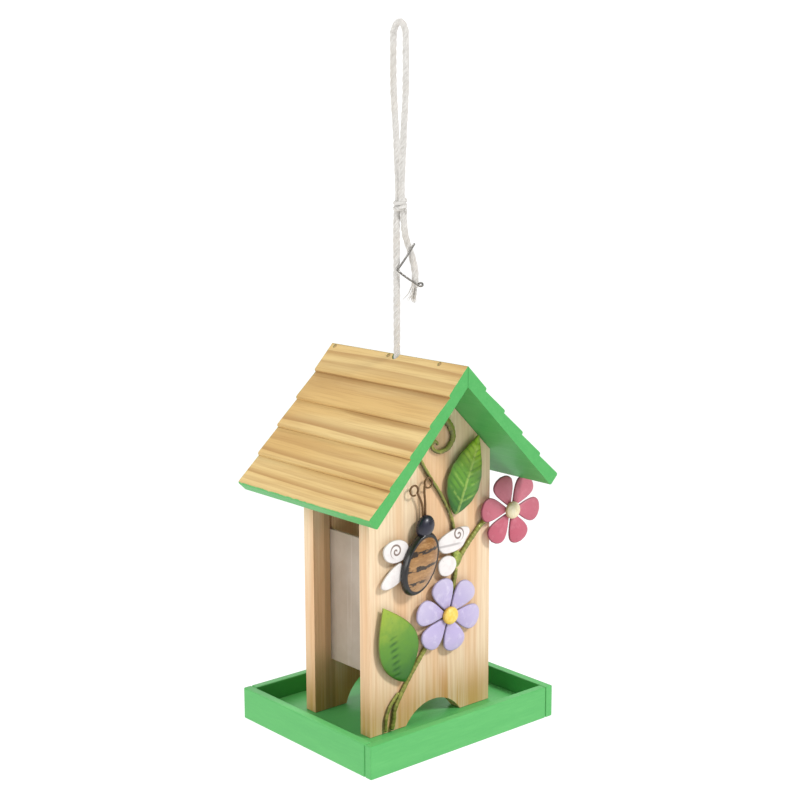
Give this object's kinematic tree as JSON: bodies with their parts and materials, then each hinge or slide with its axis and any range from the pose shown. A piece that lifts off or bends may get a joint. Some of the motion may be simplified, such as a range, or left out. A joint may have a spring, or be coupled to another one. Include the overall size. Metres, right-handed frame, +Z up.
{
  "type": "hanging bird feeder",
  "caption": "Hanging bird feeder: railed tray, two gable boards with clear panes in grooves, lapped pitched roof that lifts on its cord, bee and flower ornament on the front.",
  "frame": {"origin": "top inside of the cord's hanging loop, where the hook bears, above the middle of the tray", "axes": "+Z up along the cord, -Y out of the ornamented front gable, +X to the right of it, ridge along Y"},
  "size_m": [0.1819, 0.1394, 0.4763],
  "materials": {
    "green_wood": "green satin paint over wood",
    "pine": "bare sanded pine",
    "clear_pane": "clear acrylic sheet",
    "steel": "bright zinc",
    "cotton": "white twisted cotton",
    "olive": "gloss paint",
    "leaf_green": "gloss paint",
    "black": "gloss paint",
    "amber": "gloss paint",
    "white": "satin paint",
    "lilac": "satin paint",
    "yellow": "satin paint",
    "rose": "satin paint",
    "cream": "satin paint"
  },
  "bodies": {
    "feeder": {"tray_floor": "green_wood", "tray_rail_front": "green_wood", "tray_rail_back": "green_wood", "tray_rail_left": "green_wood", "tray_rail_right": "green_wood", "gable_front": "pine", "gable_back": "pine", "hanger_dowel": "pine", "gable_screw_front_left": "steel", "gable_screw_front_right": "steel", "gable_screw_back_left": "steel", "gable_screw_back_right": "steel", "wire_clip": "steel", "pin_leaf_lower": "steel", "pin_leaf_upper": "steel", "pin_purple_flower": "steel", "pin_bee_lower": "steel", "pin_bee_upper": "steel", "cord_anchor_knot": "cotton", "cord_lower": "cotton", "loop_knot": "cotton", "cord_loop": "cotton", "cord_tail": "cotton", "stem_lower": "olive", "stem_root": "olive", "stem_upper": "olive", "stem_curl": "olive", "stem_branch": "olive", "bee_antenna_left": "olive", "bee_antenna_right": "olive", "stem_bud": "leaf_green", "leaf_upper": "leaf_green", "leaf_lower": "leaf_green", "bee_body": "amber", "bee_head": "black", "bee_wing_upper_left": "white", "bee_wing_upper_right": "white", "bee_wing_lower_left": "white", "bee_wing_lower_right": "white", "purple_flower_petals": "lilac", "purple_flower_middle": "yellow", "pink_flower_petals": "rose", "pink_flower_middle": "cream"},
    "roof": {"roof_panel_left": "pine", "roof_panel_right": "pine", "ridge_brad_front": "steel", "ridge_brad_middle": "steel", "ridge_brad_back": "steel"},
    "left_pane": {"window_left": "clear_pane"},
    "right_pane": {"window_right": "clear_pane"}
  },
  "joints": [
    {"name": "roof_lift", "type": "slide", "parent": "feeder", "child": "roof", "axis": [0, 0, 1], "range_m": [0, 0.038]},
    {"name": "window_left_slide", "type": "slide", "parent": "feeder", "child": "left_pane", "axis": [0, 0, 1], "range_m": [0, 0.06]},
    {"name": "window_right_slide", "type": "slide", "parent": "feeder", "child": "right_pane", "axis": [0, 0, 1], "range_m": [0, 0.06]}
  ]
}
